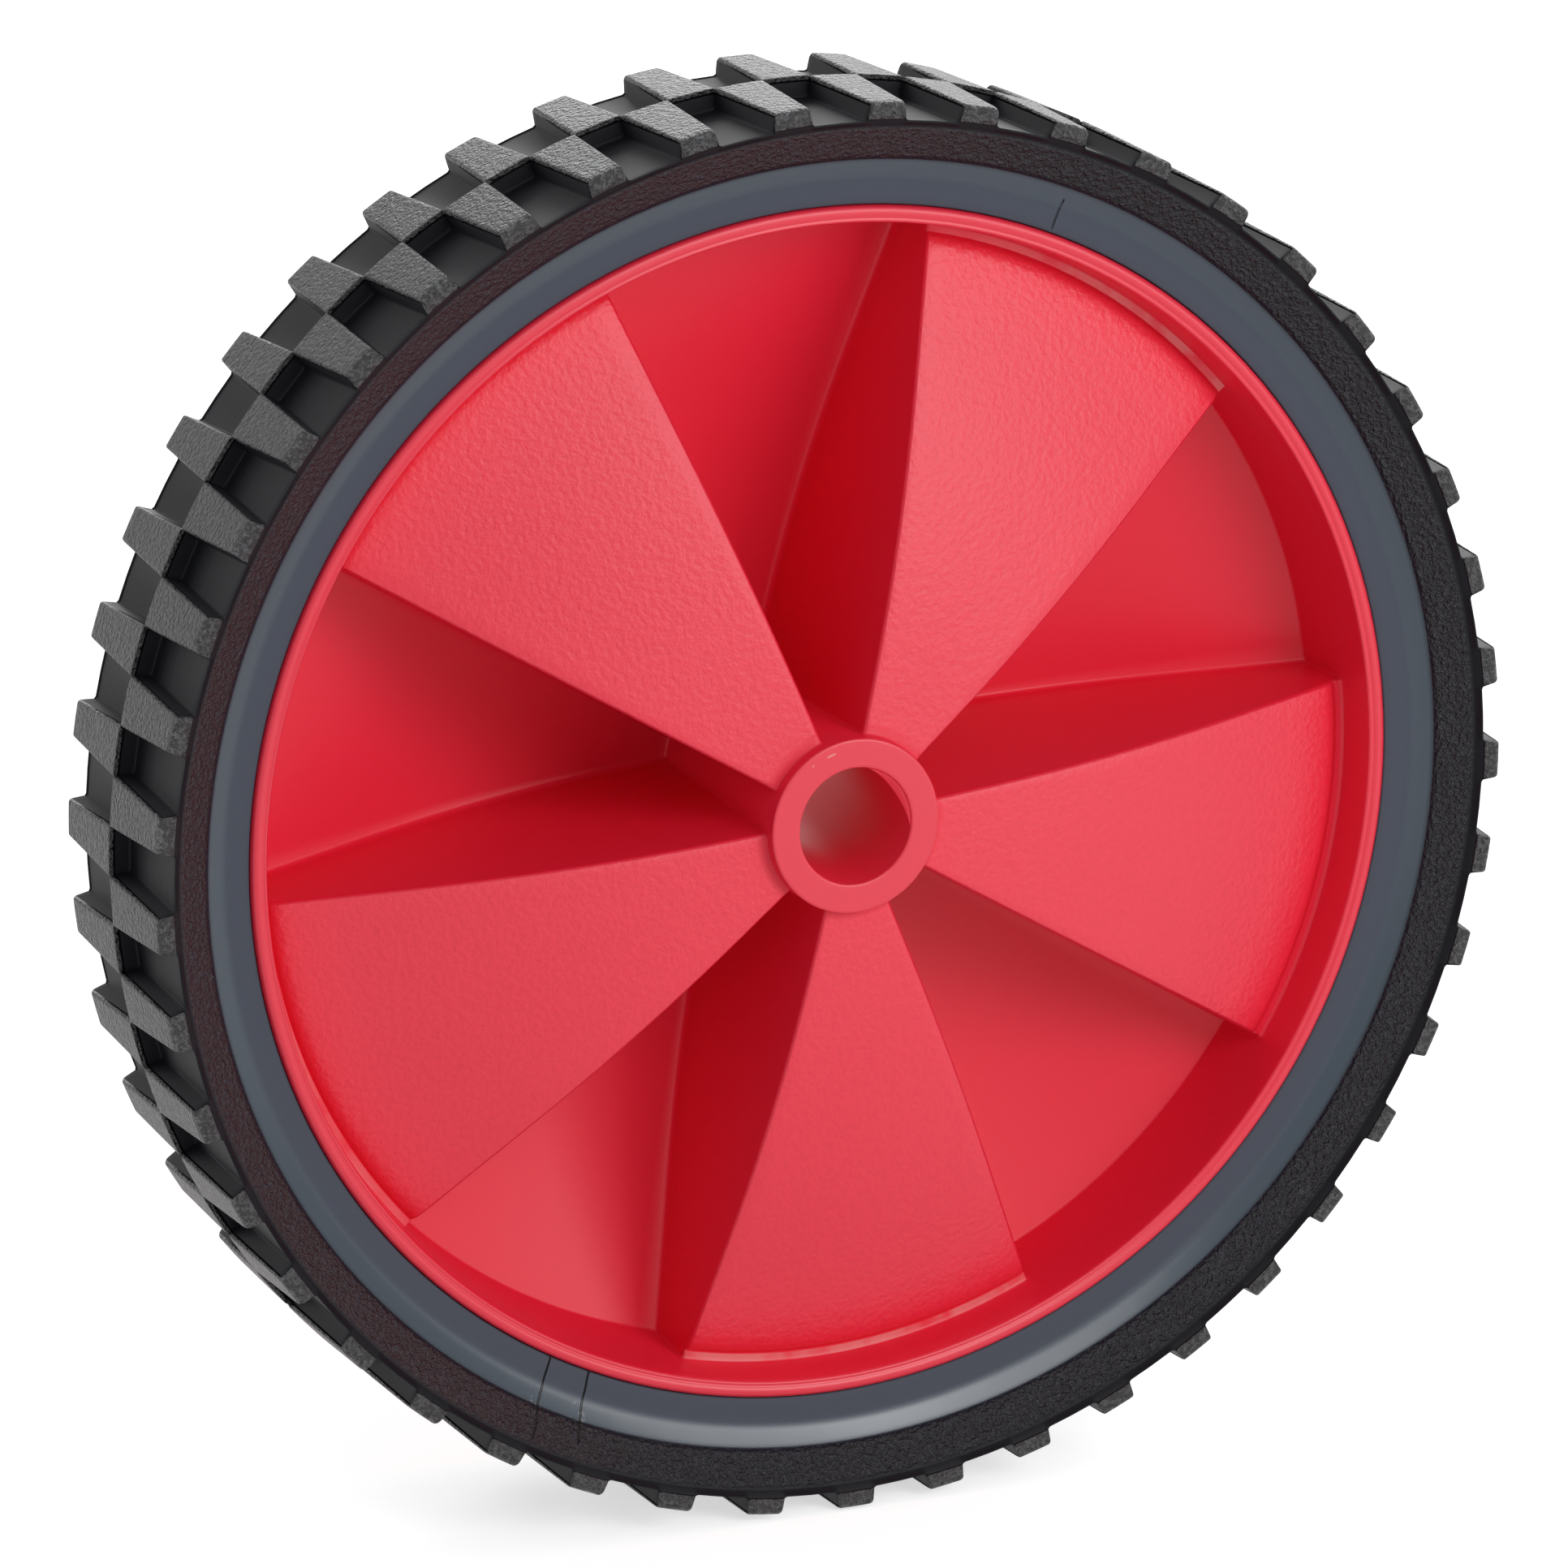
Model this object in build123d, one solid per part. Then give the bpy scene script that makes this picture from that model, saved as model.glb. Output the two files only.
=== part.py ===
from build123d import *
import os
from math import cos, pi, radians, sin, tan

# Wheel for a garden machine: a one-piece plastic wheel body and a solid rubber tyre with lugs.
# Sizes are in millimetres. Both pieces are drawn about Z with the outer face up, and are turned
# at the end so that the wheel stands upright, with its axle along Y and its outer face towards -Y.
# The origin is the middle of the axle hole.

# Axle hole and hub
axle_diameter = 20.0
axle_clearance = 0.6
hub_diameter = 30.8
hub_length = 52.6
hub_chamfer = 0.4

# Rim: two lips with the tyre's seat between them
rim_width = 32.6
lip_width = 2.95
lip_chamfer = 0.5
lip_thickness = 2.5
seat_depth = 1.9
rim_draft = 5.4

# Sector plates: heights are from the wheel's middle plane to the outer surface of a plate
sector_count = 5
plate_height_at_hub = 23.6
plate_height_at_bend = 22.0
bend_diameter = 103.2
bend_radius = 200.0
plate_height_at_edge = 8.5
edge_radius = 3.0
edge_step = 1.0
edge_run = 0.9
gutter_width = 1.65
plate_thickness = 2.0
plate_thickness_at_rim = 2.6

# Radial walls between the front and rear plates
wall_thickness = 3.7
wall_draft = 2.0
lowest_sector_turn = 5.05

# Tyre, whose diameter is the wheel's size: the rim's lip is one section height inside it
tyre_diameter = 250.0
tyre_section_height = 19.5
lug_height = 3.8
sidewall_edge_drop = 1.2
sidewall_edge_width = 43.2
shoulder_width = 45.9
flat_band_width = 4.9
flat_band_rise = 0.8
flat_band_inset = 0.8
sidewall_radius = 8.0
seat_clearance = 0.1

# Lugs: two rows, the rear row half a pitch behind the front row
lug_count = 45
lug_end_width = 46.9
lug_crown = 0.4
lug_end_chamfer = 0.8
lug_corner_overlap = 0.22
lug_narrowing = 2.5
lug_side_draft = 7.0
lug_root = 1.6
lowest_lug_turn = 0.8

# Half sizes and radii that follow from these
bore_radius = (axle_diameter + axle_clearance) / 2
hub_radius = hub_diameter / 2
hub_half = hub_length / 2
rim_half = rim_width / 2
tyre_radius = tyre_diameter / 2
lip_radius = tyre_radius - tyre_section_height
lip_inner_radius = lip_radius - lip_width
seat_radius = lip_radius - seat_depth
base_radius = tyre_radius - lug_height
sector_angle = 180 / sector_count
bend_at = bend_diameter / 2


def rim_wall_radius(height):
    """Radius of the rim's inner wall, which opens towards the lip by its draft."""
    return lip_inner_radius - tan(radians(rim_draft)) * (rim_half - height)


def turned(outline):
    """Solid made by turning a closed outline of radius and height about the axle, with its seam at -X."""
    return Rot(Z=180) * revolve(make_face(Plane.XZ * outline), Axis.Z)


def wheel_blank():
    """The wheel body before its pockets: hub, two domed faces, gutters and the rim."""
    gutter_height = plate_height_at_edge - edge_step
    gutter_radius = rim_wall_radius(gutter_height)
    step_radius = gutter_radius - gutter_width
    seat_half = rim_half - lip_thickness
    upper = [
        ((bore_radius, hub_half - hub_chamfer), 0),
        ((bore_radius + hub_chamfer, hub_half), 0),
        ((hub_radius - hub_chamfer, hub_half), 0),
        ((hub_radius, hub_half - hub_chamfer), 0),
        ((hub_radius, plate_height_at_hub), 0),
        ((bend_at, plate_height_at_bend), bend_radius),
        ((step_radius - edge_run, plate_height_at_edge), edge_radius),
        ((step_radius, gutter_height), 0),
        ((gutter_radius, gutter_height), 0),
        ((rim_wall_radius(rim_half - lip_chamfer), rim_half - lip_chamfer), 0),
        ((lip_inner_radius + lip_chamfer, rim_half), 0),
        ((lip_radius - lip_chamfer, rim_half), 0),
        ((lip_radius, rim_half - lip_chamfer), 0),
        ((lip_radius, seat_half), 0),
        ((seat_radius, seat_half), 0),
    ]
    lower = [((radius, -height), rounding) for (radius, height), rounding in reversed(upper)]
    corners = [point for point, rounding in upper + lower]
    roundings = [rounding for point, rounding in upper + lower]
    return turned(FilletPolyline(corners, radius=roundings, close=True))


def pocket():
    """One front pocket: the open space between two walls, down to the rear plate behind it."""
    floor_at_hub = plate_thickness - plate_height_at_hub
    floor_at_bend = plate_thickness - plate_height_at_bend
    floor_at_rim = plate_thickness_at_rim - (plate_height_at_edge - edge_step)
    ring = turned(FilletPolyline(
        [
            (hub_radius, hub_length),
            (hub_radius, floor_at_hub),
            (bend_at, floor_at_bend),
            (rim_wall_radius(floor_at_rim), floor_at_rim),
            (rim_wall_radius(hub_length), hub_length),
        ],
        radius=[0, 0, bend_radius, 0, 0],
        close=True,
    ))
    half_angle = radians(sector_angle / 2)
    far = lip_radius / cos(half_angle)

    def section(height):
        to_wall = wall_thickness / 2 - tan(radians(wall_draft)) * height
        apex = to_wall / sin(half_angle)
        reach = (far * cos(half_angle), far * sin(half_angle))
        corners = [(apex, 0), (apex + reach[0], reach[1]), (apex + reach[0], -reach[1])]
        return Plane.XY.offset(height) * make_face(Polyline(corners, close=True))

    wedge = loft([section(-hub_length), section(hub_length)], ruled=True)
    return ring & wedge


def wheel_body():
    """Blank with a front pocket between each two front plates, and a rear pocket behind each plate."""
    front = pocket()
    rear = mirror(front, Plane.XY)
    pockets = []
    for number in range(sector_count):
        turn = 2 * sector_angle * number
        pockets.append(Rot(Z=turn + sector_angle) * front)
        pockets.append(Rot(Z=turn) * rear)
    blank = Rot(Z=sector_angle / 2) * wheel_blank()
    return Rot(Z=lowest_sector_turn - 90) * (blank - pockets)


def tyre_ring():
    """The tyre without its lugs: foot in the rim, flat band, flared sidewall and tread base."""
    foot_half = rim_half - lip_thickness - seat_clearance
    over_lip = lip_radius + seat_clearance
    band_height = rim_half - flat_band_inset
    upper = [
        ((seat_radius, foot_half), 0),
        ((over_lip, foot_half), 0),
        ((over_lip, band_height), 0),
        ((over_lip + flat_band_width, band_height + flat_band_rise), sidewall_radius),
        ((base_radius - sidewall_edge_drop, sidewall_edge_width / 2), 0),
        ((base_radius, shoulder_width / 2), 0),
    ]
    lower = [((radius, -height), rounding) for (radius, height), rounding in reversed(upper)]
    corners = [point for point, rounding in upper + lower]
    roundings = [rounding for point, rounding in upper + lower]
    return turned(FilletPolyline(corners, radius=roundings, close=True))


def lug():
    """One front lug about the X axis: a slice of a ring, cut to a taper by two leaning sides."""
    end_half = lug_end_width / 2
    shoulder_half = shoulder_width / 2
    foot = base_radius - lug_root
    crown_radius = tyre_radius - lug_crown
    ring = turned(Polyline(
        (foot, 0),
        (tyre_radius, 0),
        (crown_radius, end_half - lug_end_chamfer),
        (crown_radius - lug_end_chamfer, end_half),
        (base_radius, shoulder_half),
        (foot, shoulder_half - 2 * lug_root),
        close=True,
    ))
    half_pitch = pi * tyre_radius / lug_count
    narrowing = lug_narrowing / 2
    inside = (half_pitch + lug_corner_overlap) / 2
    outside = inside - narrowing
    corners = [
        (inside + narrowing, -end_half),
        (outside - narrowing, 2 * end_half),
        (narrowing - outside, 2 * end_half),
        (-inside - narrowing, -end_half),
    ]
    top = Plane.YZ.offset(tyre_radius) * make_face(Polyline(corners, close=True))
    return ring & extrude(top, amount=-2 * lug_height, taper=-lug_side_draft)


def tyre():
    """Ring with its two rows of lugs, which touch corner to corner on the middle plane."""
    front = lug()
    rear = mirror(front, Plane.XY)
    pitch = 360 / lug_count
    lugs = []
    for number in range(lug_count):
        lugs.append(Rot(Z=pitch * number) * front)
        lugs.append(Rot(Z=pitch * (number + 0.5)) * rear)
    return Rot(Z=lowest_lug_turn - 90) * (tyre_ring() + lugs)


upright = Rot(X=90)
os.makedirs("parts", exist_ok=True)
export_step(upright * wheel_body(), "parts/wheel_body.step")
export_step(upright * tyre(), "parts/tyre.step")
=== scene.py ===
from math import asin, cos, degrees, pi, radians, sin, sqrt, tan

import bmesh
import bpy
from mathutils import Matrix, Vector


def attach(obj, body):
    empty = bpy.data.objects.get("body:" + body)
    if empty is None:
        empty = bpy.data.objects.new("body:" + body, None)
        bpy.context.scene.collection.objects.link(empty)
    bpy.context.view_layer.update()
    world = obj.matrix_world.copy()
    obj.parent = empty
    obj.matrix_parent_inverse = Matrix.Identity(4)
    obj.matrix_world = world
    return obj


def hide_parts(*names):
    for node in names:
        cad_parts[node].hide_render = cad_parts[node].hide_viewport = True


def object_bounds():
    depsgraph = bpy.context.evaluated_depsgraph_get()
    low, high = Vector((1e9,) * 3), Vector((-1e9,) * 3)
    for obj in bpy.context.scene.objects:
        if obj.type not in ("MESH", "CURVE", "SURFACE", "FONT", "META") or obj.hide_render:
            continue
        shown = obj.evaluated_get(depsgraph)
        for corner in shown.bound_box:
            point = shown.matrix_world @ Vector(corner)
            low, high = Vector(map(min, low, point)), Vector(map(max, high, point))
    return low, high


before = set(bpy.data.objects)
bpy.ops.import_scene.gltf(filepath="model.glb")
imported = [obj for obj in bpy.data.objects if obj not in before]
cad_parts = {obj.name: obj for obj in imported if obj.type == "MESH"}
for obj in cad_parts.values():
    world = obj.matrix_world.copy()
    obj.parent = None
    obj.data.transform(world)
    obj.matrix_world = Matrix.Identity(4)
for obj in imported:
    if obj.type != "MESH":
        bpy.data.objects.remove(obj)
cad_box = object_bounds()

# Wheel body: one red plastic moulding with a plain axle tube, domed plates that face front and back
# by turns, drafted walls between them and a rim with two lips. It comes from a two-part mould, so its
# edges are slightly rounded; the plates are grained and the pockets between them are smooth.

# Sizes are in millimetres and degrees, and heights are measured from the wheel's middle plane.
mm = 0.001
bore_radius = 10.3
hub_radius = 15.4
hub_half = 26.3
hub_rounding = 0.3
plates = 5
sector = 360 / plates
half_plate_angle = sector / 4
plate_turn = -84.95
slope_at_hub = 0.0442
bend_start = 26.0
bend_length = 50.0
gutter_height = 7.5
floor_at_rim = -4.9
wall_half = 1.85
wall_lean = tan(radians(2.0))
edge_rounding = 0.5
crease_rounding = 0.8
corner_rounding = 0.5
rim_half = 16.3
rim_lean = tan(radians(5.4))
lip_inside = 102.55
lip_outside = 105.5
seat_radius = 103.6
seat_half = 13.8

# A rounded edge has one point between its ends, where it faces halfway and is this share of its size in.
halfway = sqrt(0.5)
diagonal = 1 - halfway


def rim_wall(height):
    """Radius of the rim's inner wall, which leans by the mould's draft."""
    return lip_inside - rim_lean * (rim_half - height)


def wall_offset(height):
    """Distance from the radial plane to a wall's face, which leans by the mould's draft."""
    return wall_half - wall_lean * height


def domed(radius, at_hub, slope_at_rim):
    """Height of a dome: a gentle slope, a long bend and a steeper slope."""
    past = radius - bend_start
    bend = min(max(past, 0), bend_length)
    fall = (slope_at_rim - slope_at_hub) * (bend * bend / bend_length / 2 + max(past - bend_length, 0))
    return at_hub - slope_at_hub * (radius - hub_radius) - fall


def plate_height(radius):
    """Height of a front plate's outer surface."""
    return domed(radius, at_hub=23.6, slope_at_rim=0.2838)


def floor_height(radius):
    """Height of a front pocket's floor, which is the inside of a rear plate."""
    return -domed(radius, at_hub=21.6, slope_at_rim=0.3085)


# Stations from the hub to the rim: radius and height on the plate, radius and height on the pocket's
# floor, and how far the surface has moved off them into a rounded corner.
def plain_station(plate_radius, plate, floor_radius):
    return plate_radius, plate, floor_radius, floor_height(floor_radius), 0.0


def corner_stations(plate, floor, direction):
    """The rounded corner where plates, walls and floors meet the hub or the rim."""
    corner = []
    for back, lift in ((1.0, 0.0), (diagonal, diagonal), (0.0, 1.0)):
        inset = back * corner_rounding * direction
        corner.append((plate[0] + inset, plate[1], floor[0] + inset, floor[1], lift * corner_rounding))
    return corner


plate_radii = (17.5, 21, 26, 32, 38, 44, 50, 56, 62, 68, 74, 80, 86, 91, 95)
plate_end = ((96.6, 0), (97.9, -0.03), (98.75, -0.17), (99.4, -0.5), (99.95, -1.0))
gutter_radii = ((100.2, 99.45), (100.7, 99.75))
floor_inset = 0.5
floor_squeeze = 0.12

stations = corner_stations(
    (hub_radius, plate_height(hub_radius)), (hub_radius, floor_height(hub_radius)), 1)[::-1]
first_grained = len(stations)
for plate_radius in plate_radii:
    stations.append(plain_station(plate_radius, plate_height(plate_radius), plate_radius))
for plate_radius, drop in plate_end:
    floor_radius = plate_radius - floor_inset - (plate_radius - plate_end[0][0]) * floor_squeeze
    stations.append(plain_station(plate_radius, plate_height(plate_radius) + drop, floor_radius))
grained_stations = range(first_grained, len(stations) - 1)
for plate_radius, floor_radius in gutter_radii:
    stations.append(plain_station(plate_radius, gutter_height, floor_radius))
stations += corner_stations(
    (rim_wall(gutter_height), gutter_height), (rim_wall(floor_at_rim), floor_at_rim), -1)

# Rings that run all the way round, as radius and height: the hub's end inside the stations, and outside
# them the rim's wall and its lip, with a fine ridge and groove along the lip's inner edge.
round_end = hub_rounding * diagonal
hub_rings = [
    (bore_radius, hub_half - hub_rounding),
    (bore_radius + round_end, hub_half - round_end),
    (bore_radius + hub_rounding, hub_half),
    (bore_radius + 2 * hub_rounding, hub_half),
    (hub_radius - 2 * hub_rounding, hub_half),
    (hub_radius - hub_rounding, hub_half),
    (hub_radius - round_end, hub_half - round_end),
    (hub_radius, hub_half - hub_rounding),
]
rim_rings = [
    (rim_wall(12.0), 12.0),
    (rim_wall(15.1), 15.1),
    (lip_inside, 15.62),
    (102.8, 15.95),
    (103.05, 15.98),
    (103.22, 15.86),
    (103.36, 15.86),
    (103.55, 16.05),
    (104.0, 16.25),
    (104.6, rim_half),
    (105.1, 16.12),
    (105.4, 15.7),
    (lip_outside, 15.1),
    (lip_outside, seat_half),
    (seat_radius, seat_half),
]

# Columns from the middle of a plate, down the wall in steps, to the middle of a pocket.
plate_columns = 8
wall_steps = 8
floor_columns = 8
last_step = wall_steps - 1
wall_margin = 2.5
body_columns = plate_columns + wall_steps + floor_columns
body_rows = len(hub_rings) + len(stations) + len(rim_rings) - 1


def wall_step(step, plate, floor):
    """Offset past the radial plane, height, and how far the surface faces sideways and upward."""
    edge, crease = edge_rounding, crease_rounding
    below_edge, above_crease = plate - wall_margin * edge, floor + wall_margin * crease
    return (
        (wall_offset(plate) - edge, plate, 0, 1),
        (wall_offset(plate) - edge * diagonal, plate - edge * diagonal, halfway, halfway),
        (wall_offset(plate - edge), plate - edge, 1, 0),
        (wall_offset(below_edge), below_edge, 1, 0),
        (wall_offset(above_crease), above_crease, 1, 0),
        (wall_offset(floor + crease), floor + crease, 1, 0),
        (wall_offset(floor) + crease * diagonal, floor + crease * diagonal, halfway, halfway),
        (wall_offset(floor) + crease, floor, 0, 1),
    )[step]


def station_point(column, station):
    """Radius, height and angle of one point of a station."""
    plate_radius, plate, floor_radius, floor, lift = station
    step = column - plate_columns
    offset, height, sideways, upward = wall_step(min(max(step, 0), last_step), plate, floor)
    share = (height - floor) / (plate - floor)
    radius = floor_radius + (plate_radius - floor_radius) * share
    offset += sideways * lift
    height += upward * lift
    angle = half_plate_angle + degrees(asin(offset / radius))
    if step < 0:
        angle *= column / plate_columns
    if step > last_step:
        angle += (2 * half_plate_angle - angle) * (step - last_step) / (floor_columns + 1)
    return radius, height, angle


def on_wheel(radius, height, angle):
    """Place on the wheel: angles run from +X towards +Z, heights stand towards the front."""
    turned = radians(angle)
    return Vector((radius * cos(turned), -height, radius * sin(turned))) * mm


def body_point(column, row):
    """Place of one point of the body's front, on the hub's end, a station or the rim."""
    past_hub = row - len(hub_rings)
    past_stations = past_hub - len(stations)
    if past_hub < 0:
        angle = station_point(column, stations[0])[2]
        return on_wheel(*hub_rings[row], angle)
    if past_stations >= 0:
        angle = station_point(column, stations[-1])[2]
        return on_wheel(*rim_rings[past_stations], angle)
    return on_wheel(*station_point(column, stations[past_hub]))


merge_distance = 0.002 * mm
sharp_angle = radians(50)


def shaped_grid(columns, rows, place):
    """A flat grid whose points are moved to their places on the piece by column and row."""
    sheet = bmesh.new()
    bmesh.ops.create_grid(sheet, x_segments=columns, y_segments=rows, size=0.5)
    for point in sheet.verts:
        point.co = place(round((point.co.x + 0.5) * columns), round((point.co.y + 0.5) * rows))
    return sheet


def merge(sheet):
    bmesh.ops.remove_doubles(sheet, verts=sheet.verts[:], dist=merge_distance)


def whole(sheet):
    return sheet.verts[:] + sheet.edges[:] + sheet.faces[:]


def repeat_round(sheet, count):
    """Copies one share of the wheel round the axle until it goes all the way round."""
    bmesh.ops.spin(sheet, geom=whole(sheet), cent=(0, 0, 0), axis=(0, -1, 0),
                   angle=radians(360 / count * (count - 1)), steps=count - 1, use_duplicate=True)


def turn(sheet, points, angle):
    """Turns points about the axle, from +X towards +Z."""
    bmesh.ops.rotate(sheet, verts=points, cent=(0, 0, 0), matrix=Matrix.Rotation(radians(-angle), 3, "Y"))


def closed(sheet):
    """Merges what meets, turns the faces outwards and shades them smooth up to the sharp angle."""
    merge(sheet)
    bmesh.ops.recalc_face_normals(sheet, faces=sheet.faces[:])
    for face in sheet.faces:
        face.smooth = True
    for edge in sheet.edges:
        edge.smooth = len(edge.link_faces) == 2 and edge.calc_face_angle() < sharp_angle


def finished(sheet, name):
    """An object of the finished mesh."""
    mesh = bpy.data.meshes.new(name)
    sheet.to_mesh(mesh)
    sheet.free()
    piece = bpy.data.objects.new(name, mesh)
    bpy.context.scene.collection.objects.link(piece)
    return piece


body = shaped_grid(body_columns, body_rows, body_point)
grain_layer = body.verts.layers.float.new("grain")
for number, point in enumerate(body.verts):
    row, column = divmod(number, body_columns + 1)
    point[grain_layer] = float(column <= plate_columns and row - len(hub_rings) in grained_stations)
bmesh.ops.mirror(body, geom=whole(body), axis="Z", merge_dist=merge_distance)
repeat_round(body, plates)
merge(body)

# The rear is the front turned over and on by half a sector, and the axle hole and the seat join the two.
rear = bmesh.ops.duplicate(body, geom=whole(body))
rear_points = [item for item in rear["geom"] if isinstance(item, bmesh.types.BMVert)]
bmesh.ops.scale(body, verts=rear_points, vec=(1, -1, 1))
turn(body, rear_points, -sector / 2)
between_hub_and_rim = 50 * mm
for at_hub in (True, False):
    rings = [edge for edge in body.edges
             if edge.is_boundary and (edge.verts[0].co.length < between_hub_and_rim) == at_hub]
    bmesh.ops.bridge_loops(body, edges=rings)
turn(body, body.verts[:], plate_turn)

# A sliver of flash left by the mould at the front edge of the axle hole.
flash_from, flash_to = 76, -6
flash_width, flash_thickness = 1.1, 0.25
flash_root, flash_height, flash_lean = bore_radius + 0.03, 25.85, 0.7
flash_columns, flash_rows = 24, 3


def flash_point(column, row):
    """Place of one point of the sliver, which is widest in its middle and leans into the hole."""
    along = column / flash_columns
    reach = flash_width * sin(pi * along) * row / flash_rows
    angle = flash_from + (flash_to - flash_from) * along
    return on_wheel(flash_root - reach, flash_height - flash_lean * reach, angle)


flash = shaped_grid(flash_columns, flash_rows, flash_point)
merge(flash)
bmesh.ops.solidify(flash, geom=flash.faces[:], thickness=flash_thickness * mm)
sliver = bpy.data.meshes.new("flash")
flash.to_mesh(sliver)
flash.free()
body.from_mesh(sliver)
closed(body)
wheel_body = finished(body, "wheel_body_moulding")


class Flow:
    """One socket in a material's nodes, so that sums on it read as sums."""

    def __init__(self, socket):
        self.socket = socket

    def node(self, kind, settings, inputs, output=0):
        """Adds any node to the same material: its settings first, then its sockets' values or links."""
        made = self.socket.id_data.nodes.new(kind)
        for name, value in settings.items():
            setattr(made, name, value)
        for name, value in inputs.items():
            if isinstance(value, Flow):
                connect(value, made.inputs[name])
            else:
                made.inputs[name].default_value = value
        return Flow(made.outputs[output])

    def maths(self, operation, *values):
        return self.node("ShaderNodeMath", {"operation": operation}, dict(enumerate(values)))

    def __add__(self, other):
        return self.maths("ADD", self, other)

    __radd__ = __add__

    def __sub__(self, other):
        return self.maths("SUBTRACT", self, other)

    def __rsub__(self, other):
        return self.maths("SUBTRACT", other, self)

    def __mul__(self, other):
        return self.maths("MULTIPLY", self, other)

    __rmul__ = __mul__

    def rising(self, start, end):
        """0 below the start, 1 above the end, smooth between them."""
        return self.node("ShaderNodeMapRange", {"interpolation_type": "SMOOTHSTEP"},
                         {"Value": self, "From Min": start, "From Max": end})

    def within(self, low, high, soft):
        """1 between two limits, fading over a soft edge."""
        return self.rising(low - soft, low + soft) * (1 - self.rising(high - soft, high + soft))

    def noise(self, scale, rough):
        return self.node("ShaderNodeTexNoise", {},
                         {"Vector": self, "Scale": scale, "Detail": 2, "Roughness": rough})

    def blend(self, first, second):
        """A colour between two, by this value."""
        return self.node("ShaderNodeMix", {"data_type": "RGBA"}, {0: self, 6: first, 7: second}, output=2)

    def bump(self, strength, distance):
        """A normal that leans as if this value were a height."""
        return self.node("ShaderNodeBump", {},
                         {"Strength": strength, "Distance": distance, "Height": self})


def connect(value, socket):
    socket.id_data.links.new(value.socket, socket)


def moulding_finish(name, dull, glossy):
    """A new material that mixes a dull shader and a glossier one, and the places that it is read at."""
    material = bpy.data.materials.new(name)
    material.use_nodes = True
    nodes = material.node_tree.nodes
    mix = nodes.new("ShaderNodeMixShader")
    shaders = nodes["Principled BSDF"], nodes.new("ShaderNodeBsdfPrincipled")
    for number, (shader, gloss) in enumerate(zip(shaders, (dull, glossy))):
        shader.inputs["Specular IOR Level"].default_value = gloss
        connect(Flow(shader.outputs["BSDF"]), mix.inputs[number + 1])
    connect(Flow(mix.outputs["Shader"]), nodes["Material Output"].inputs["Surface"])
    return material, Flow(nodes.new("ShaderNodeTexCoord").outputs["Object"])


def in_millimetres(place):
    """The X, Y and Z of a place."""
    split = place.node("ShaderNodeSeparateXYZ", {}, {0: place}).socket.node
    return [Flow(part) * (1 / mm) for part in split.outputs]


def round_the_axle(x, y, z):
    """Radius, distance from the middle plane, height towards the front, and angle in degrees."""
    square = x * x + z * z
    radius = square.maths("SQRT", square)
    outward = y.maths("ABSOLUTE", y)
    angle = x.maths("ARCTAN2", z, x) * (180 / pi)
    return radius, outward, 0 - y, angle


def feed(material, name, value):
    """Links a value to the socket of that name on both shaders of a material, or on their mix."""
    for node in material.node_tree.nodes:
        if node.type in ("BSDF_PRINCIPLED", "MIX_SHADER") and name in node.inputs:
            connect(value, node.inputs[name])


deep_red = (0.80, 0.018, 0.048, 1)
bright_red = (0.83, 0.021, 0.052, 1)
pale_scuff_and_highlight = (0.78, 0.30, 0.29, 1)

red, place = moulding_finish("red_moulded_plastic", dull=0.32, glossy=0.68)
radius, outward, forward, angle = round_the_axle(*in_millimetres(place))
grain = place.node("ShaderNodeAttribute", {"attribute_name": "grain"}, {}, output="Fac")
pebbles = place.noise(900, rough=0.5)
streaks = place.noise(170, rough=0.5)
grained = grain * pebbles
hub_end = outward.rising(25.6, 26)
lip = radius.rising(102.3, 102.7)
bore = 1 - radius.rising(bore_radius, 10.5)

# Painted highlight in the front gutters, where their ledge catches the light: all along the lowest plate,
# fading along the upper right one and faint on the left. Two small scuffs are on the hub's front end.
highlight_by_angle = (angle.within(-106, -64, 1) + angle.within(20, 66, 14) * 0.9
          + angle.within(-176, -138, 1) * 0.5)
gutter_highlight = (highlight_by_angle * radius.within(100.15, 101.5, 0.12) * forward.within(7.1, 8.0, 0.1)
          * streaks.rising(0.25, 0.6))
long_scuff = radius.within(13.6, 13.95, 0.08) * angle.within(106, 113, 1)
short_scuff = radius.within(13.7, 14.1, 0.1) * angle.within(124, 126, 0.5)
scuffs = forward.rising(26.2, 26.28) * pebbles.rising(0.4, 0.55) * (long_scuff + short_scuff)

shade = grained.rising(0.3, 0.6).blend(deep_red, bright_red)
# Pale colour: painted highlight along the gutters, and real scuffs on the hub's end.
shade = (gutter_highlight * 0.6 + scuffs * 0.7).blend(shade, pale_scuff_and_highlight)
feed(red, "Base Color", shade)
feed(red, "Roughness", 0.32 + grain * 0.13 + bore * 0.2 + gutter_highlight * 0.2)
feed(red, "Normal", grained.bump(0.6, 0.3 * mm))
feed(red, "Fac", grain + hub_end * 0.9 + lip * 0.7 + bore * 0.3)
wheel_body.data.materials.append(red)
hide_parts("wheel_body")
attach(wheel_body, "root")

# Tyre: one black rubber moulding, pressed over the rim so that its foot sits between the lips.
# Its sidewall is smooth next to the rim and leathery further out, and two rows of grained lugs stand
# on a smooth tread; the rear row is half a pitch behind the front one.

lugs = 45
pitch = 360 / lugs
lug_turn = -89.2
lug_narrowing = 0.575
lug_side_angle = 2
lug_end = 22.65
foot_half = 13.7

# Columns over half a pitch: angle from a lug's middle, and 1 on the lug's top, 0 on the tread
# between lugs.
tread_columns = [
    (0, 1), (1.5, 1), (1.7, 1), (1.84, 0.996), (1.95, 0.97), (2.04, 0.905), (2.25, 0.09), (2.47, 0),
    (4.0, 0),
]

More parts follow.
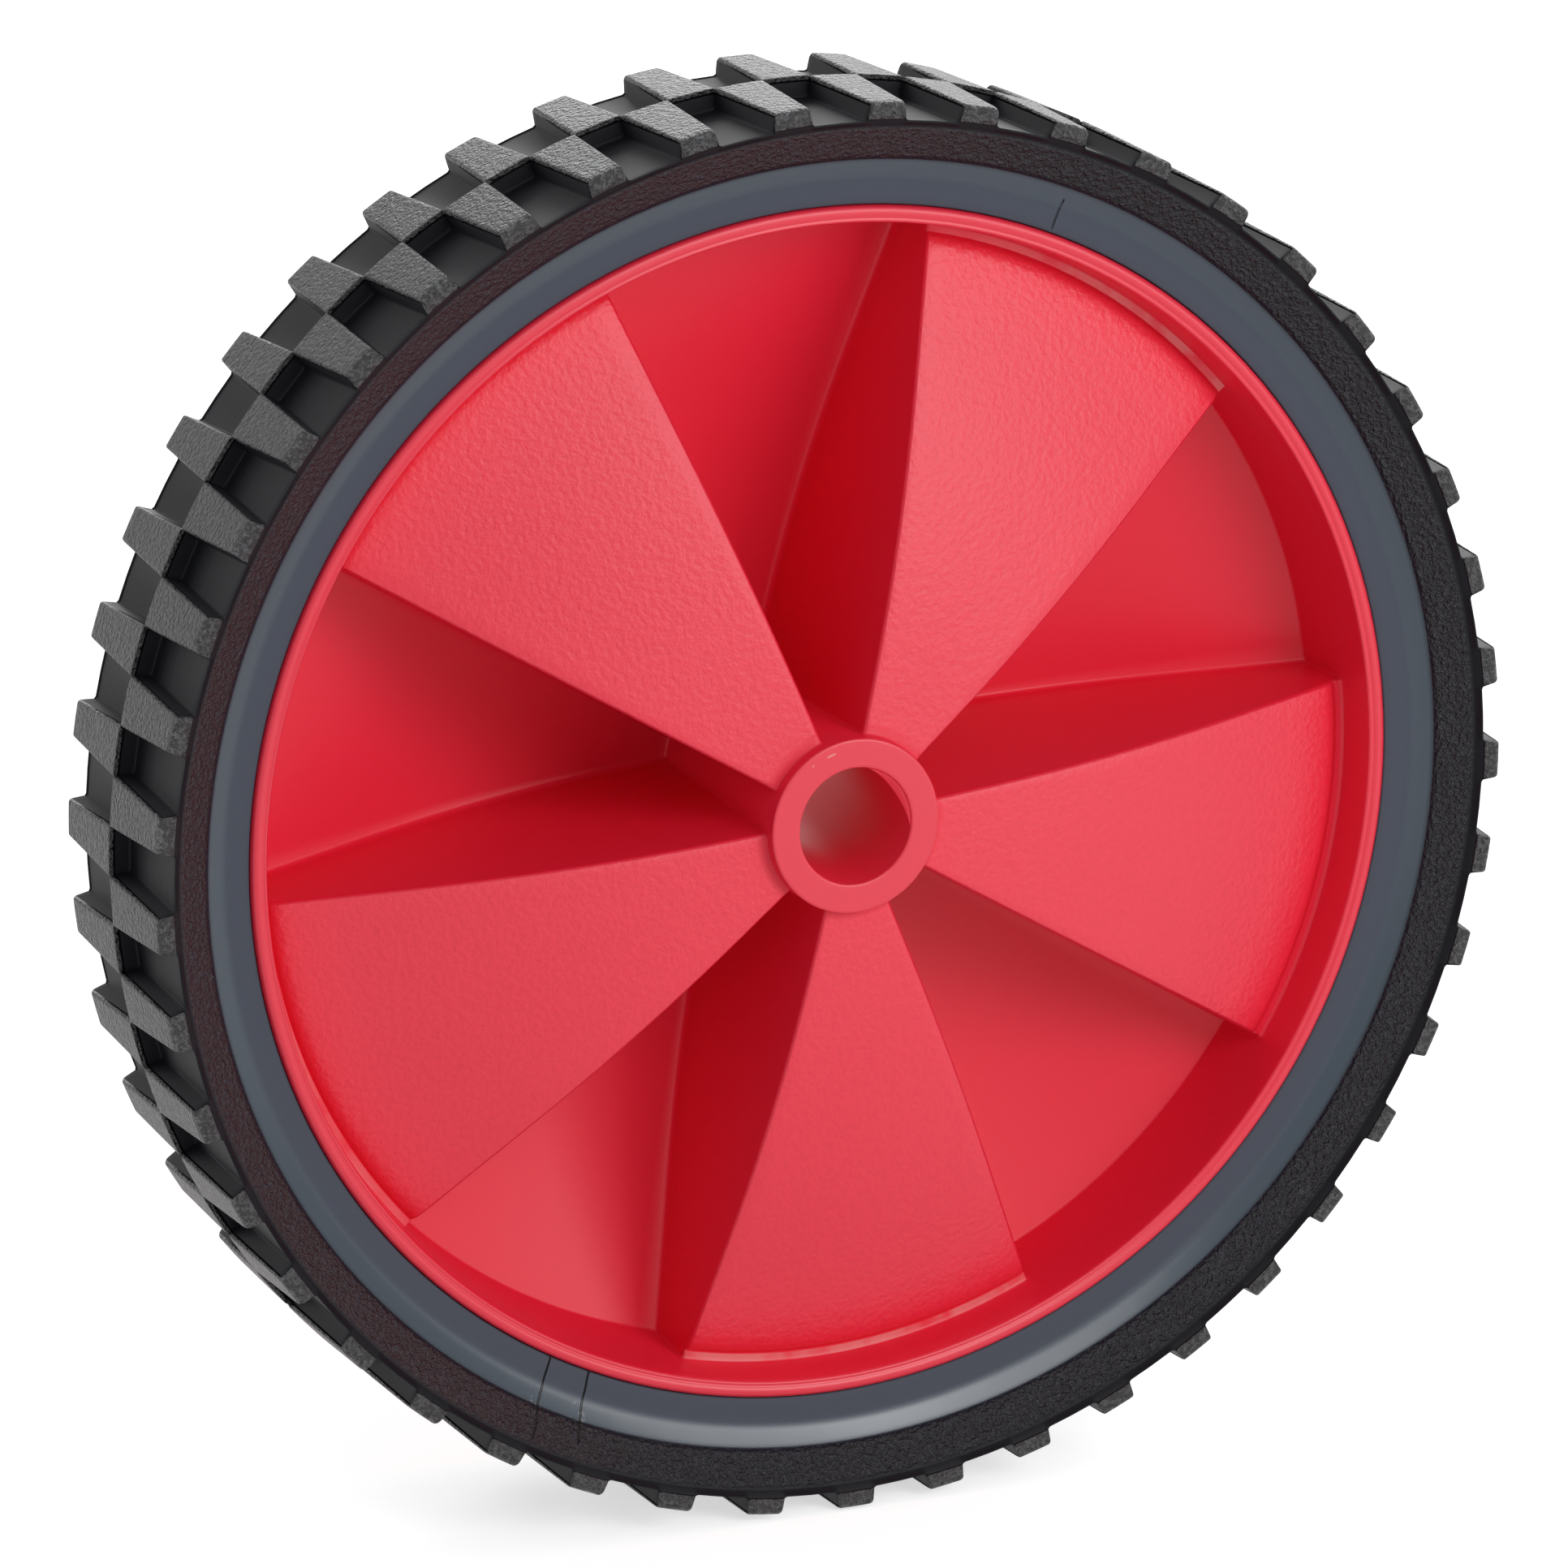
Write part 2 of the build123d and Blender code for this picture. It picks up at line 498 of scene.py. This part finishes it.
# Rows from the tread's middle line to its front edge, which has a fine bead: radius and height on the
# tread, then on a lug. The sidewall's rows go on from there to the foot.
tread_rows = [
    ((121.6, 0), (124.72, 0)),
    ((121.32, 0.12), (124.93, 0.08)),
    ((121.2, 0.4), (124.98, 0.3)),
    ((121.2, 1.0), (124.97, 1.0)),
    ((121.2, 6.0), (124.9, 6.0)),
    ((121.2, 12.0), (124.8, 12.0)),
    ((121.2, 17.5), (124.7, 17.5)),
    ((121.2, 21.2), (124.64, 21.3)),
    ((121.2, 22.2), (124.6, 22.1)),
    ((121.12, 22.4), (124.48, 22.68)),
    ((121.36, 22.56), (124.2, 23.12)),
    ((121.36, 22.82), (123.72, 23.42)),
    ((121.06, 22.9), (122.9, 23.3)),
    ((120.98, 22.7), (121.6, 23.03)),
]
side_rows = [
    (120.25, 21.9),
    (120.02, 21.64),
    (119.75, 21.44),
    (119.2, 21.15),
    (117.0, 19.93),
    (114.8, 18.7),
    (113.3, 17.86),
    (111.75, 17.0),
    (110.9, 16.62),
    (110.0, 16.27),
    (109.1, 16.07),
    (107.3, 15.78),
    (105.95, 15.56),
    (105.7, 15.44),
    (105.62, 15.2),
    (105.6, foot_half),
    (seat_radius, foot_half),
    (seat_radius, 0),
]
half_rows = len(tread_rows) + len(side_rows)
half_columns = len(tread_columns) - 1


def tyre_point(column, row):
    """Place of one point of the tyre over a pitch, from the foot round the front and back to the foot."""
    from_lug = abs(column - half_columns)
    side = 1 if column > half_columns else -1
    front = row < half_rows
    step = half_rows - 1 - row if front else row - half_rows
    angle, lug_share = tread_columns[from_lug if front else half_columns - from_lug]
    if step < len(tread_rows):
        tread, lug = tread_rows[step]
        radius = tread[0] + (lug[0] - tread[0]) * lug_share
        height = tread[1] + (lug[1] - tread[1]) * lug_share
    else:
        radius, height = side_rows[step - len(tread_rows)]
    if angle < pitch / 2:
        angle -= lug_narrowing * min(height / lug_end, 1) * min(angle / lug_side_angle, 1)
    if not front:
        angle, height = pitch / 2 - angle, -height
    return on_wheel(radius, height, angle * side)


tread = shaped_grid(2 * half_columns, 2 * half_rows - 1, tyre_point)
repeat_round(tread, lugs)
turn(tread, tread.verts[:], lug_turn)
closed(tread)
tyre = finished(tread, "tyre_moulding")

sidewall_black = (0.006, 0.0063, 0.009, 1)
band_grey_and_sheen = (0.070, 0.080, 0.104, 1)
crest_highlight_blue = (0.014, 0.032, 0.054, 1)
leather_brown = (0.024, 0.009, 0.012, 1)
leather_grey = (0.028, 0.030, 0.044, 1)
pit_black = (0.004, 0.004, 0.0045, 1)
lug_grey = (0.055, 0.057, 0.061, 1)
worn_grey = (0.25, 0.255, 0.265, 1)
striation_sheen_grey = (0.025, 0.025, 0.028, 1)
sparkle_and_crackle_grey = (0.30, 0.31, 0.32, 1)
split_black = (0.003, 0.003, 0.003, 1)

black, place = moulding_finish("black_tyre_rubber", dull=0.12, glossy=0.9)
x, y, z = in_millimetres(place)
radius, outward, forward, angle = round_the_axle(x, y, z)
band = radius.within(104, 112, 0.5) * outward.rising(14.8, 15.2)
crest = radius.within(110.4, 113.9, 0.8) * outward.rising(16, 16.3)
leather = radius.within(114.2, 119.9, 0.5) * outward.rising(18, 18.4)
lug_top = radius.rising(123.9, 124.3)
lug_face = outward.rising(22.9, 23.05) * radius.rising(121.3, 121.7) * (1 - lug_top)
tread_base = radius.within(120.8, 121.6, 0.2) * (1 - outward.rising(22, 22.3))
pebbles = place.noise(1150, rough=0.65)
wander = place.noise(160, rough=0.5)
streaks = outward.node("ShaderNodeTexNoise", {"noise_dimensions": "1D"},
                       {"W": outward, "Scale": 1.5, "Detail": 2})


def crack(at, lean, start, end):
    """A thin, wandering split across the sidewall: 1 in it, 0 beside it."""
    off = angle - at - (radius - start) * lean - (wander - 0.5) * 0.5
    return (1 - off.maths("ABSOLUTE", off).rising(0.04, 0.12)) * radius.within(start, end, 0.6)


# Age shows on the front sidewall: two splits at the lower left, with crackle beside them, and a faint
# one at the upper right.
on_front = forward.rising(15, 15.3)
cracks = (crack(-119.65, 0.042, 105.6, 119) + crack(-115.3, 0.045, 105.6, 117)
          + crack(67.5, 0.06, 106.3, 111.5) * 0.5) * on_front
near_cracks = angle.within(-120.4, -118.9, 0.3) + angle.within(-116.0, -114.5, 0.3)
crackle = near_cracks * radius.within(111.2, 114, 0.4) * pebbles.rising(0.56, 0.62) * on_front

browner = leather * (z * 0.35 - x).rising(-10, 45)
pitted = pebbles.rising(0.42, 0.62).blend(pit_black, lug_grey)
worn = outward.within(22.3, 23.3, 0.2) * radius.rising(123.7, 124.1) * pebbles.rising(0.5, 0.62)
sparkle = leather * pebbles.rising(0.74, 0.78)
# The smooth band's grey is partly the rubber's own dusty grey and partly painted sheen.
shade = band.blend(sidewall_black, band_grey_and_sheen)
# The crest's blue is a painted highlight along the concave ring between the band and the leathery part.
shade = crest.blend(shade, crest_highlight_blue)
shade = browner.blend(shade, leather_brown)
shade = (leather * pebbles.rising(0.5, 0.65) * 0.5).blend(shade, leather_grey)
shade = (lug_top + lug_face).blend(shade, pitted)
shade = (worn * 0.35).blend(shade, worn_grey)
# Lighter streaks on the tread between lugs: its fine striations, painted lighter as their sheen.
shade = (tread_base * streaks.rising(0.5, 0.7) * 0.5).blend(shade, striation_sheen_grey)
# Pale dots on the leathery part are painted glints; the pale crackle beside the splits is the rubber's
# own crazing.
shade = (sparkle * 0.5 + crackle * 0.4).blend(shade, sparkle_and_crackle_grey)
skin = (lug_top * 1.3 + leather + lug_face) * pebbles - cracks * 0.8
feed(black, "Base Color", cracks.blend(shade, split_black))
feed(black, "Roughness", 0.48 - crest * 0.26 - lug_top * 0.12 - leather * 0.08)
feed(black, "Normal", skin.bump(0.9, 1.3 * mm))
feed(black, "Fac", lug_top * 0.6 + lug_face * 0.6 + crest * 0.7 + leather * 0.25)
tyre.data.materials.append(black)
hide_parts("tyre")
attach(tyre, "root")

# Floor: a plain pale sweep that the wheel stands on, there for its shadow. It glows only where the
# camera sees it, straight or mirrored, so it looks white and sheds no light on the wheel.

floor_half = 6
ground = bmesh.new()
bmesh.ops.create_grid(ground, x_segments=1, y_segments=1, size=floor_half)
bmesh.ops.translate(ground, verts=ground.verts[:], vec=(0, 0, cad_box[0][2]))
studio_floor = finished(ground, "studio_floor")
paper = bpy.data.materials.new("pale_paper")
paper.use_nodes = True
paper_shader = paper.node_tree.nodes["Principled BSDF"]
paper_shader.inputs["Base Color"].default_value = (0.9, 0.9, 0.9, 1)
paper_shader.inputs["Roughness"].default_value = 0.9
paper_shader.inputs["Emission Strength"].default_value = 0.6


def backdrop(tree):
    """1 for what the camera sees, straight or mirrored, and 0 for the light that falls on the wheel."""
    rays = tree.nodes.new("ShaderNodeLightPath").outputs
    return Flow(rays["Is Camera Ray"]) + Flow(rays["Is Glossy Ray"]) + Flow(rays["Is Transmission Ray"])


connect(backdrop(paper.node_tree), paper_shader.inputs["Emission Color"])
studio_floor.data.materials.append(paper)

# Light: two soft boxes in front on the right, one behind for the tread, and a pale room around them,
# which is white only where the camera sees it, straight or mirrored.


def soft_box(name, place, aim, width, tall, watts):
    """A rectangular lamp that faces its aim."""
    lamp = bpy.data.lights.new(name, "AREA")
    lamp.shape = "RECTANGLE"
    lamp.size, lamp.size_y, lamp.energy = width, tall, watts
    box = bpy.data.objects.new(name, lamp)
    bpy.context.scene.collection.objects.link(box)
    box.location = place
    box.rotation_euler = (Vector(place) - Vector(aim)).to_track_quat("Z", "Y").to_euler()


soft_box("front_box", (0.38, -0.7, 0.2), (0, 0, 0.02), 0.36, 0.44, 1.7)
soft_box("fill_box", (0.3, -1.5, 0.85), (0, 0, 0), 0.8, 0.8, 6.2)
soft_box("back_box", (0.9, 1.7, 0.75), (0, 0, 0), 1.4, 1.1, 14)

room_light = 0.4
world = bpy.data.worlds.new("pale_room")
bpy.context.scene.world = world
world.use_nodes = True
room = world.node_tree.nodes["Background"]
room.inputs["Color"].default_value = (1, 1, 1, 1)
connect(room_light + backdrop(world.node_tree) * (1 - room_light), room.inputs["Strength"])

# Camera: the photograph's viewing angle, from the left and a little above, through a long lens.
# The wheel's middle lies slightly off the middle of the picture.

camera = bpy.data.objects.new("camera", bpy.data.cameras.new("camera"))
bpy.context.scene.collection.objects.link(camera)
camera.data.sensor_width = 36
camera.data.lens = 210.03
view_turn, view_rise, distance = radians(-22.9457), radians(15.8795), 1.57967
shift_left, shift_up = 0.0020214, 0.00058477
towards = Vector((sin(view_turn) * cos(view_rise), -cos(view_turn) * cos(view_rise), sin(view_rise)))
right = Vector((cos(view_turn), sin(view_turn), 0))
above = towards.cross(right)
camera.matrix_world = Matrix((right, above, towards)).transposed().to_4x4()
camera.location = towards * distance - right * shift_left + above * shift_up
bpy.context.scene.camera = camera
bpy.context.scene.view_settings.view_transform = "Standard"
